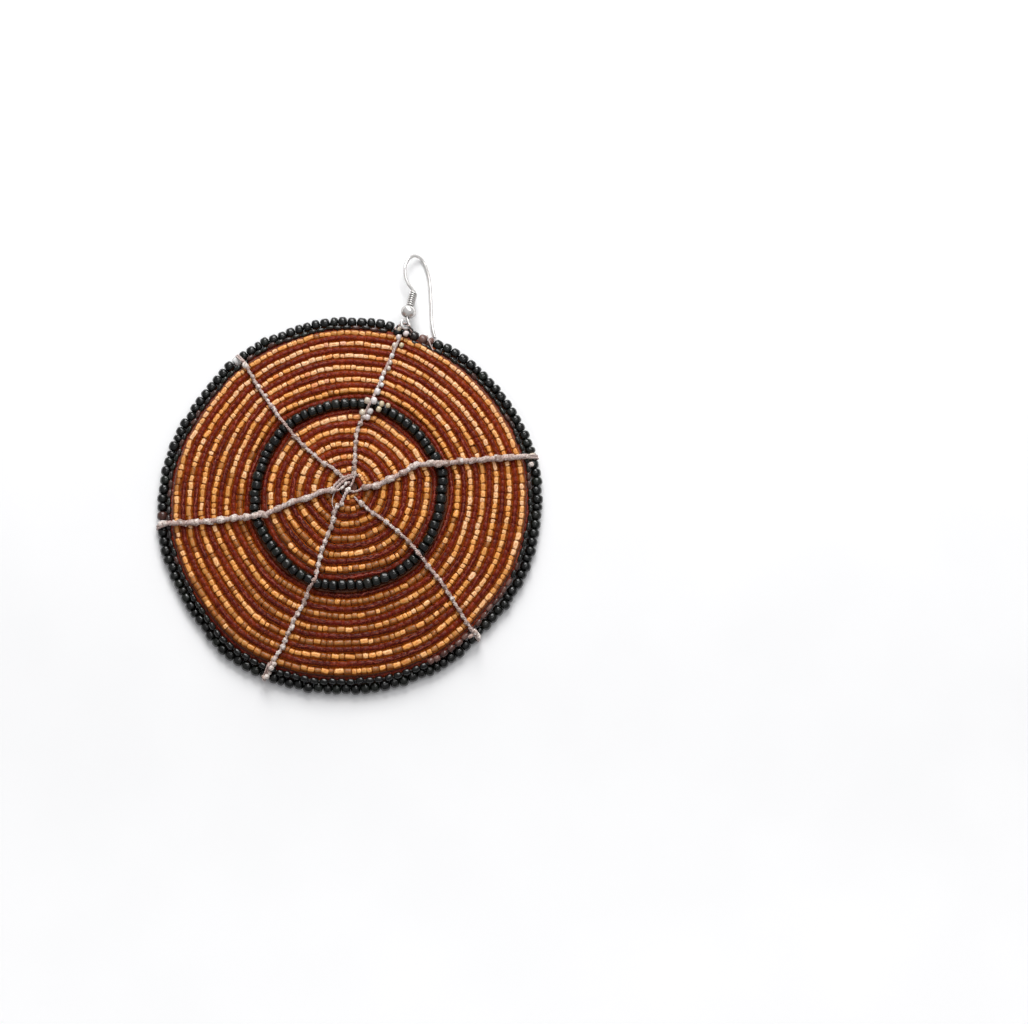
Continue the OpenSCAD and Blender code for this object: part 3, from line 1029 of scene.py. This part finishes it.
# Section of the thread that ties a spoke down over the rim: radius and height
RIM_TIE = [
    (34.2, 3.6), (35.0, 3.5), (35.65, 3.05), (36.3, 2.5), (36.88, 1.9), (37.12, 1.15), (37.0, 0.65),
    (36.6, 0.4)
]


def spoke_strand(index, d):
    """A spoke's middle line, and the radii of its points."""
    end = TOP_SPOKE_END if index == TOP_SPOKE else SPOKE_END
    radii = np.linspace(SPOKE_STARTS[index - 1], end, 160)
    stops, angles = ROUTES[index - 1]
    return Strand(row_point(radii, spoke_z(radii, d), np.interp(radii, stops, angles))), radii


def string_radius(x, y):
    """The radius of the string that passes a place given from the disc's centre."""
    r = math.hypot(x, y)
    for _ in range(6):
        r = math.hypot(x, y - HUB_OFFSET + DRIFT * r)
    return r


def placed_beads(name, material, pattern, rows, seed, lean, rough=0.0):
    """Level beads: each row is a place, a width, a length and a height, a turn and a tone."""
    rows = np.array(rows, float)
    headings = np.array([(cos(turn), sin(turn), 0) for turn in rows[:, 6]])
    sizes, tones = rows[:, 3:6], rows[:, 7]
    chance = random.Random(seed)
    return beads_object(
        name, material, pattern, rows[:, :3], headings, sizes, tones, chance, lean, rough
    )


def laid_lumps(name, lumps, material, seed):
    """Rounded lumps on the strings: x and y from the disc's centre, width, length, turn, tone."""
    rows = []
    for x, y, width, length, turn, tone in lumps:
        z = spoke_z(string_radius(x, y), width * 0.86) - 0.1
        if math.hypot(x, y) > RIM_R - 0.6:
            z = LARGE_D + width * 0.4
        rows.append((x, y + MIDDLE_Y, z, width, length, width * 0.86, turn, tone))
    return placed_beads(name, material, LUMP, rows, seed, 6)


def wound_lumps(strand, places, width, length, seed):
    """Lumps of thread wound on a strand at some places along it."""
    chance = random.Random(seed)
    places = np.array(places)
    headings = strand.heading(places)
    widths = width * np.array([chance.uniform(0.84, 1.12) for _ in places])
    lengths = length * np.array([chance.uniform(0.8, 1.2) for _ in places])
    sizes = np.stack([widths, lengths, widths * 0.84], axis=1)
    tones = np.array([chance.betavariate(2.2, 2.2) for _ in places])
    sideways = draws(chance, 0.07, len(places))
    centres = strand.at(places) + np.cross(headings, UP) * sideways[:, None]
    return beads_object("lumps", KNOTS, LUMP, centres, headings, sizes, tones, chance, 12, 0.07)


def rim_tie(index, d):
    """The end of a spoke's thread, taken over the rim in two turns side by side."""
    angle = ROUTES[index - 1][1][-1]
    path = smooth_path([(r, 0, z) for r, z in RIM_TIE])
    half_gap = math.degrees(0.55 * d / RIM_R)
    turns = [row_point(path[:, 0], path[:, 2], angle + side * half_gap) for side in (-1, 1)]
    return thread_object("tie", turns, d, STITCH)


def windings(index, strand, radii):
    """The lumps of winding where a spoke is stitched down to the strings."""
    chance = random.Random(f"spoke {index}")
    brown_width, brown_length, gold_width, gold_length = LUMP_SIZES.get(index, FINE_LUMPS)
    last = TOP_WOUND_TO if index == TOP_SPOKE else RIM_R
    brown, gold = ([r for r, _, each in ROWS if each == kind] for kind in KINDS)
    parts = []
    for radii_crossed, width, length, seed in (
        (brown + [BLACK_R], brown_width, brown_length, index),
        (gold, gold_width, gold_length, index + 50),
    ):
        crossed = [r + chance.gauss(0, 0.08) for r in radii_crossed if r < last]
        places = [np.interp(r, radii, strand.marks) for r in crossed]
        parts.append(wound_lumps(strand, places, width, length, seed))
    return parts


def beside_top_spoke():
    """The pale beads and the loose end of thread beside the upper spoke."""
    lumps = [(x, y, size, size * 1.05, 70, tone) for x, y, size, tone in TOP_LUMPS]
    end = smooth_path(LOOSE_END) + np.array([0, MIDDLE_Y, 0])
    return [laid_lumps("pale", lumps, PALE, "top"), thread_object("loose_end", [end], 0.24, STITCH)]


def spoke(index):
    """Two plies twisted round each other, with their windings, end lumps and tie."""
    d, radius, thick = HEAVY_PLIES if index in HEAVY_SPOKES else FINE_PLIES
    strand, radii = spoke_strand(index, d)
    parts = [thread_object("plies", two_plies(strand, d * radius), d * thick, STITCH)]
    parts += windings(index, strand, radii)
    if index in END_LUMPS:
        parts.append(laid_lumps("ends", END_LUMPS[index], KNOTS, index))
        parts.append(rim_tie(index, d * TIE_SHARE))
    if index == TOP_SPOKE:
        parts += beside_top_spoke()
    finish_piece(join(f"spoke_{index}", parts), f"spoke_thread_{index}")


def spokes():
    for index in range(1, len(ROUTES) + 1):
        spoke(index)


# Loops of the thread knot in the middle: thickness, and points about the hub
KNOT_LOOPS = [
    (0.6, [(-3.3, -0.7, 0.75), (-2.67, 0.3, 0.9), (-1.95, 1.03, 0.95), (-1.18, 1.71, 0.95),
           (-0.08, 2.16, 0.92), (1.03, 2.38, 0.9), (1.9, 2.3, 0.8)]),
    (0.55, [(-2.95, -0.8, 0.8), (-2.28, -0.15, 0.95), (-1.62, 0.58, 1.0), (-0.85, 1.26, 1.0),
            (0.03, 1.71, 1.0), (0.8, 2.05, 0.95)]),
    (0.5, [(-3.28, -0.91, 0.85), (-2.17, -0.68, 1.0), (-1.4, -0.34, 1.1), (-0.96, 0.11, 1.1),
           (-0.41, 0.67, 1.1), (0.25, 0.9, 1.05)]),
    (0.5, [(1.03, 3.17, 0.85), (1.08, 2.13, 1.15), (0.81, 1.0, 1.1), (0.36, 0.1, 1.1)]),
    (0.72, [(-0.05, -0.75, 1.1), (-0.63, -1.47, 1.05), (-0.96, -2.24, 0.95), (-1.35, -3.0, 0.9),
            (-1.15, -3.6, 0.8)]),
    (0.52, [(0.25, -0.8, 1.05), (1.14, -0.9, 1.0), (2.02, -0.66, 1.0), (2.85, -0.15, 0.95),
            (3.5, 0.1, 0.85)]),
    (0.4, [(1.14, -1.9, 0.8), (1.69, -2.58, 0.85), (2.35, -3.15, 0.8)]),
    (0.24, [(-2.6, -0.9, 0.85), (-3.0, -2.0, 0.75), (-3.1, -3.2, 0.7), (-2.7, -4.4, 0.6)]),
    (0.5, [(-2.5, -0.55, 0.9), (-1.9, 0.2, 1.0), (-1.2, 0.9, 1.0), (-0.4, 1.5, 0.98),
           (0.6, 1.9, 0.95)]),
]
# Lumps in the knot: place about the hub, width, length, turn and tone
KNOT_LUMPS = [
    (-0.08, -0.6, 1.15, 1.0, 1.25, 40, 1.0), (-1.2, -0.2, 1.2, 0.6, 0.8, 30, 1.0),
    (-0.5, 0.6, 1.2, 0.6, 0.8, 50, 0.8), (-3.3, -0.85, 0.85, 0.75, 0.9, 20, 0.6),
    (-1.3, -3.3, 0.8, 0.8, 1.0, 60, 0.7), (2.6, -0.3, 1.0, 0.55, 0.8, 30, 0.8),
]
# Gold beads that show in the innermost turn: place about the hub, length and turn
KNOT_BEADS = [
    (2.1, 2.3, 0.9, 150), (2.6, 1.75, 0.9, 120), (3.0, 1.0, 0.9, 108), (-0.1, -2.0, 1.2, 95),
    (0.75, -1.75, 0.9, 20), (1.45, -1.35, 0.9, 45),
]


def knot_winding(hub):
    """Flat turns of the strings' thread that close the middle."""
    turns = []
    for turn in range(5):
        angles = np.linspace(0, 360, 25)
        r = 0.45 + 0.24 * turn
        z = 0.35 - 0.1 * turn + 0.05 * sin(3 * angles + 70 * turn)
        turns.append(hub + np.stack([r * cos(angles), r * sin(angles), z], axis=-1))
    return thread_object("winding", turns, 0.34, STRING, sides=5)


def knot_parts(hub):
    """The lumps in the knot, and the gold beads at its edge, which get duller one by one."""
    lumps = [(x, y, z, w, l, 0.6, turn, tone) for x, y, z, w, l, turn, tone in KNOT_LUMPS]
    beads = [(x, y, 0.35, 0.95, l, 0.95, turn, 0) for x, y, l, turn in KNOT_BEADS]
    lumps, beads = (np.array(rows) + [*hub, 0, 0, 0, 0, 0] for rows in (lumps, beads))
    beads[:, 7] = np.linspace(0.6, 0.0, len(beads))
    return [
        placed_beads("lumps", KNOTS, LUMP, lumps, "knot", 8, 0.03),
        placed_beads("beads", GOLD, TUBE_BEAD, beads, "hub", 8),
    ]


def centre_knot():
    hub = HUB + np.array([0, 0, HUB_Z])
    parts = []
    for d, points in KNOT_LOOPS:
        plies = two_plies(Strand(hub + smooth_path(points)), d * 0.22)
        parts.append(thread_object("loop", plies, d * 0.56, STITCH))
    parts += [knot_winding(hub), *knot_parts(hub)]
    finish_piece(join("knot_of_thread", parts), "centre_knot")


# Ear hook

WIRE_D = 0.62
BALL_D = 3.0
BALL_H = 2.5
BORE_D = WIRE_D + 0.2
COIL_D = 1.6
COIL_H = 3.05
COIL_TURNS = 7
COIL_START = BALL_H / 2 + 0.02
# The eye: its radius, its distance from the disc's centre, the length of its neck, its lean
# towards the disc and the angle at which its wire ends
EYE_R = 0.85
EYE_AT = 36.6
EYE_NECK = 1.3
EYE_LEAN = 30
EYE_LAST = -244
EYE_TO_BALL = EYE_NECK + 1.42
# The hook's plane rises to the left of the tail's line, which leans a little
HOOK_SLOPE = 0.53
TAIL_X = 4.44
TAIL_LEAN = 0.135
# The stem's axis, through the ball and the coil
AXIS_LEAN = 13
AXIS_FALL = math.degrees(math.atan(HOOK_SLOPE * (TAIL_LEAN * cos(AXIS_LEAN) + sin(AXIS_LEAN))))
AXIS = np.array([sin(AXIS_LEAN) * cos(AXIS_FALL), cos(AXIS_LEAN) * cos(AXIS_FALL), -sin(AXIS_FALL)])
# The bend and the tail, seen from above: across and along from the ball's centre
BEND = [
    (0.5, 4.95), (-0.12, 5.8), (-0.58, 6.9), (-0.78, 8.2), (-0.72, 9.3), (-0.45, 10.2),
    (0.1, 11.15), (1.12, 11.75), (2.2, 11.4), (2.95, 10.4), (3.5, 8.95), (3.87, 7.3), (4.1, 5.2),
    (4.25, 2.6), (4.35, 0), (4.6, -2.6), (5.05, -4.4),
]


def hook_z(x, y):
    """The height of the hook's wire, across and along from the ball's centre."""
    return WIRE_D / 2 + HOOK_SLOPE * max(TAIL_X - TAIL_LEAN * y - x, 0)


EYE_FLAT = row_point(EYE_AT, 0, HOOK_ANGLE)
BALL_CENTRE = np.array([*(EYE_FLAT + EYE_TO_BALL * AXIS)[:2], hook_z(0, 0)])
EYE_CENTRE = BALL_CENTRE - EYE_TO_BALL * AXIS


def hook_wire():
    """The eye, its neck, the stem, the bend and the tail, as one wire."""
    lean = np.array([cos(EYE_LEAN), 0, -sin(EYE_LEAN)])
    side = unit(lean - (lean @ AXIS) * AXIS)
    first = math.degrees(math.asin(EYE_R / EYE_NECK))
    angles = np.linspace(EYE_LAST, first, 40)[:, None]
    eye = EYE_CENTRE + EYE_R * (cos(angles) * side + sin(angles) * AXIS)
    neck = [EYE_CENTRE + EYE_NECK * AXIS]
    stem = [BALL_CENTRE + s * AXIS for s in (0, COIL_START + COIL_H, COIL_START + COIL_H + 0.15)]
    arch = [BALL_CENTRE * [1, 1, 0] + [x, y, hook_z(x, y)] for x, y in BEND]
    path = np.vstack([eye, neck, smooth_path(stem + arch, 5)])
    piece = thread_object("hook_wire", [path], WIRE_D, WIRE, sides=16)
    finish_piece(piece, "ear_hook")


def hook_coil():
    """The coil's turns of finer wire, round a dark core that shows between them as painted shade.
    """
    pitch = COIL_H / COIL_TURNS
    fine = pitch * 0.68
    start = BALL_CENTRE + (COIL_START + fine / 2) * AXIS
    end = BALL_CENTRE + (COIL_START + COIL_H - fine / 2) * AXIS
    axis = Strand([start, end])
    turns = helix(axis, COIL_D / 2 - fine / 2, pitch, 40, 18)
    parts = [thread_object("turns", [turns], fine, WIRE, sides=10)]
    # Painted shade: a dark cylinder inside the coil stands for the shade between its turns.
    parts.append(thread_object("bore", [axis.points], COIL_D - 2 * fine, DARK_STRING_AND_PAINTED_SHADE, sides=12))
    finish_piece(join("coil_of_wire", parts), "hook_coil")


def bore_ball(ball):
    """Opens both poles of the ball being edited, and walls the bore between them."""
    mesh = bmesh.from_edit_mesh(ball.data)
    rim_z = BALL_H / BALL_D * math.sqrt((BALL_D / 2) ** 2 - (BORE_D / 2 + 0.05) ** 2) * MM
    for face in mesh.faces:
        face.select_set(abs(face.calc_center_median().z) > rim_z)
    bmesh.update_edit_mesh(ball.data)
    bpy.ops.mesh.delete(type="FACE")
    mesh = bmesh.from_edit_mesh(ball.data)
    bpy.ops.mesh.select_mode(type="EDGE")
    for edge in mesh.edges:
        edge.select_set(edge.is_boundary)
    bmesh.update_edit_mesh(ball.data)
    bpy.ops.mesh.bridge_edge_loops()


def mark_bore(ball):
    """Gives the bore's long faces the second material, a dark one that paints the shade inside the
    bore, and cuts them across.
    """
    mesh = bmesh.from_edit_mesh(ball.data)
    for each in (*mesh.verts, *mesh.edges, *mesh.faces):
        each.select_set(False)
    for face in mesh.faces:
        heights = [v.co.z for v in face.verts]
        if max(heights) - min(heights) > BALL_D * 0.6 * MM:
            face.select_set(True)
            face.material_index = 1
    bmesh.update_edit_mesh(ball.data)
    bpy.ops.mesh.subdivide(number_cuts=2)


def hook_ball():
    """A flattened ball with its bore, turned onto the hook's axis."""
    deselect()
    bpy.ops.mesh.primitive_uv_sphere_add(
        segments=32, ring_count=20, radius=BALL_D / 2 * MM, scale=(1, 1, BALL_H / BALL_D)
    )
    bpy.ops.object.transform_apply(location=False, rotation=False, scale=True)
    ball = bpy.context.object
    ball.name = "round_ball"
    bpy.ops.object.mode_set(mode="EDIT")
    bpy.ops.mesh.select_mode(type="FACE")
    bore_ball(ball)
    mark_bore(ball)
    bpy.ops.object.mode_set(mode="OBJECT")
    bpy.ops.object.shade_smooth_by_angle(angle=math.radians(50))
    side = unit(np.cross(AXIS, UP))
    top = np.cross(side, AXIS)
    rows = [[side[k], top[k], AXIS[k], BALL_CENTRE[k] * MM] for k in range(3)]
    ball.data.transform(Matrix(rows + [[0, 0, 0, 1]]))
    # The second material paints the shade on the walls of the bore.
    for material in (WIRE, DARK_STRING_AND_PAINTED_SHADE):
        ball.data.materials.append(material)
    activate(ball)
    bpy.ops.object.mode_set(mode="EDIT")
    bpy.ops.mesh.select_all(action="SELECT")
    bpy.ops.mesh.normals_make_consistent(inside=False)
    bpy.ops.object.mode_set(mode="OBJECT")
    finish_piece(ball, "hook_ball")


def hanger_loop():
    """The thread that holds the hook: a pale and a dark ply from the rim up through the eye."""
    foot = TIE_HALF_GAP - 0.55
    reach = EYE_AT - EYE_R + WIRE_D / 2 + 0.3 + 0.25 - UPPER_R
    t = np.linspace(0, 180, 25)
    z = UPPER_Z + 0.8 * sin(t) - 0.45 * sin(2 * t)
    strand = Strand(row_point(UPPER_R + reach * sin(t), z, HOOK_ANGLE + foot * cos(t)))
    plies = zip(two_plies(strand, 0.11, 1.1), (STITCH, DARK_STRING_AND_PAINTED_SHADE))
    parts = [thread_object("ply", [ply], 0.28, material) for ply, material in plies]
    finish_piece(join("loop_of_thread", parts), "hanger_loop")


small_strings()
black_ring()
rim()
spokes()
centre_knot()
hook_wire()
hook_coil()
hook_ball()
hanger_loop()


# Floor, light and camera

PHOTO_W = 1028
PHOTO_H = 1024
# The pixel of the disc's centre, and the scale there
DISC_PIXEL = (349.6, 504)
PIXELS_PER_MM = 5.2
CAMERA_ELEVATION = 78
CAMERA_DISTANCE = 620
SENSOR_MM = 36


def pale_floor(tree):
    """Almost white, with painted light towards the front: a faint glow where the window lights it
    less.
    """
    speckle = fade(tree, object_noise(tree, 40.0), 0.3, 0.7)
    colour = mix_colour(tree, speckle, linear((250, 250, 250)), linear((248, 248, 248)))
    # Painted light: the floor's emission rises towards the front.
    near_front = fade(tree, place_along(tree, "Object", "Y"), -0.11, -0.035)
    glow = mix_colour(tree, near_front, (0.0, 0.0, 0.0, 1.0), (0.1, 0.1, 0.1, 1.0))
    return {"Base_Color": colour, "Emission_Color": glow}


def floor():
    deselect()
    bpy.ops.mesh.primitive_plane_add(size=3.0, location=(0, 0, 0))
    plane = bpy.context.object
    plane.name = "studio_floor"
    matt = {"Roughness": 0.9, "Specular_IOR_Level": 0.1, "Emission_Strength": 1.0}
    plane.data.materials.append(new_material("pale_floor", pale_floor, **matt))
    plane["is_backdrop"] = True


def area_light(name, place, size, power):
    """A square light that faces the origin."""
    data = bpy.data.lights.new(name, "AREA")
    data.energy = power
    data.size = size
    light = bpy.data.objects.new(name, data)
    light.location = place
    light.rotation_euler = (-Vector(place)).to_track_quat("-Z", "Y").to_euler()
    bpy.context.scene.collection.objects.link(light)


def lights():
    area_light("window", (0.03, 0.7, 0.61), 0.5, 6.9)
    area_light("overhead", (0.12, 0.1, 0.9), 0.4, 0.9)
    area_light("small_window", (0.42, 0.32, 0.74), 0.12, 0.75)
    area_light("low_window", (-0.1, 0.85, 0.3), 0.35, 1.6)
    world = bpy.data.worlds.new("studio")
    world.use_nodes = True
    tree = world.node_tree
    height = fade(tree, place_along(tree, "Generated", "Z"), 0.5, 0.08)
    colour = mix_colour(tree, height, linear((70, 70, 72)), linear((235, 235, 238)))
    feed(tree, tree.nodes["Background"].inputs, Color=colour, Strength=0.46)
    bpy.context.scene.world = world


def camera():
    across = (PHOTO_W / 2 - DISC_PIXEL[0]) / PIXELS_PER_MM
    down = (PHOTO_H / 2 - DISC_PIXEL[1]) / PIXELS_PER_MM / sin(CAMERA_ELEVATION)
    aim = Vector((across, MIDDLE_Y - down, LARGE_D / 2)) * MM
    back = Vector((0, -cos(CAMERA_ELEVATION), sin(CAMERA_ELEVATION)))
    data = bpy.data.cameras.new("photo_view")
    data.sensor_width = SENSOR_MM
    data.lens = SENSOR_MM * CAMERA_DISTANCE * PIXELS_PER_MM / PHOTO_W
    data.clip_start = 0.01
    eye = bpy.data.objects.new("photo_view", data)
    eye.location = aim + back * CAMERA_DISTANCE * MM
    eye.rotation_euler = (-back).to_track_quat("-Z", "Y").to_euler()
    bpy.context.scene.collection.objects.link(eye)
    bpy.context.scene.camera = eye
    bpy.context.scene.view_settings.view_transform = "Standard"


floor()
lights()
camera()


def plain(box):
    return [[float(v) for v in corner] for corner in box]


{"cad": plain(cad_box), "visual": plain(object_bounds())}
